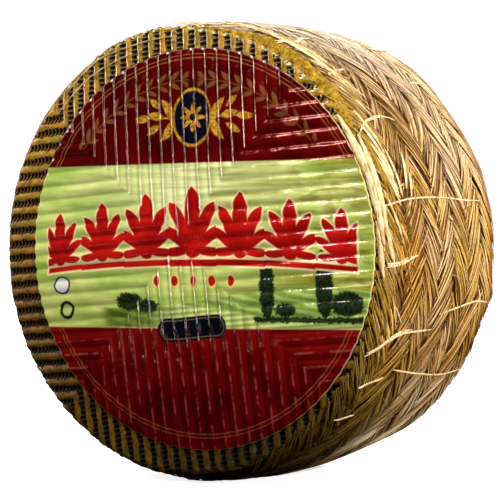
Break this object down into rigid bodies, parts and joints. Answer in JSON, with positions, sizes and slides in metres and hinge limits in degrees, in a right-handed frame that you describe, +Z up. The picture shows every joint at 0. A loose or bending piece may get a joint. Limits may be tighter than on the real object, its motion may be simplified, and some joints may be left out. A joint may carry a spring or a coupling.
{
  "type": "whole wheel of hard sheep's milk cheese with a plaited grass belt",
  "caption": "Whole round wheel of hard sheep cheese standing on its curved side, ribbed rind on both faces, round paper label and a plaited esparto grass belt with tie straws.",
  "frame": {"origin": "middle of the flat spot that the wheel stands on, at the lowest point of its curved side", "axes": "+Y along the wheel's axis from the labelled face to the plain one, +Z up, +X to the right as one looks at the label"},
  "size_m": [0.2068, 0.1134, 0.2059],
  "materials": {
    "rind": "waxy oiled rind, golden on its ribs and nearly black in the grooves",
    "label_paper": "glossy printed paper, dark red above and below a pale green band",
    "esparto": "dry plaited grass straw, tan to golden brown, satin",
    "tie_straw": "pale dry straw, satin"
  },
  "bodies": {
    "root": {"cheese_wheel": "rind", "face_label": "label_paper", "esparto_belt": "esparto", "tie_top_front": "tie_straw", "tie_top_back": "tie_straw", "tie_upper_front": "tie_straw", "tie_upper_back": "tie_straw", "tie_bowed": "tie_straw", "tie_long": "tie_straw", "tie_folded": "tie_straw", "tie_stray": "tie_straw", "tie_forked": "tie_straw", "tie_lower_back": "tie_straw", "tie_lower_long": "tie_straw", "tie_lower_front": "tie_straw", "tie_low_stub": "tie_straw", "tie_round_1": "tie_straw", "tie_round_2": "tie_straw", "tie_round_3": "tie_straw", "tie_round_4": "tie_straw", "tie_round_5": "tie_straw", "tie_round_6": "tie_straw", "tie_round_7": "tie_straw"}
  },
  "joints": []
}
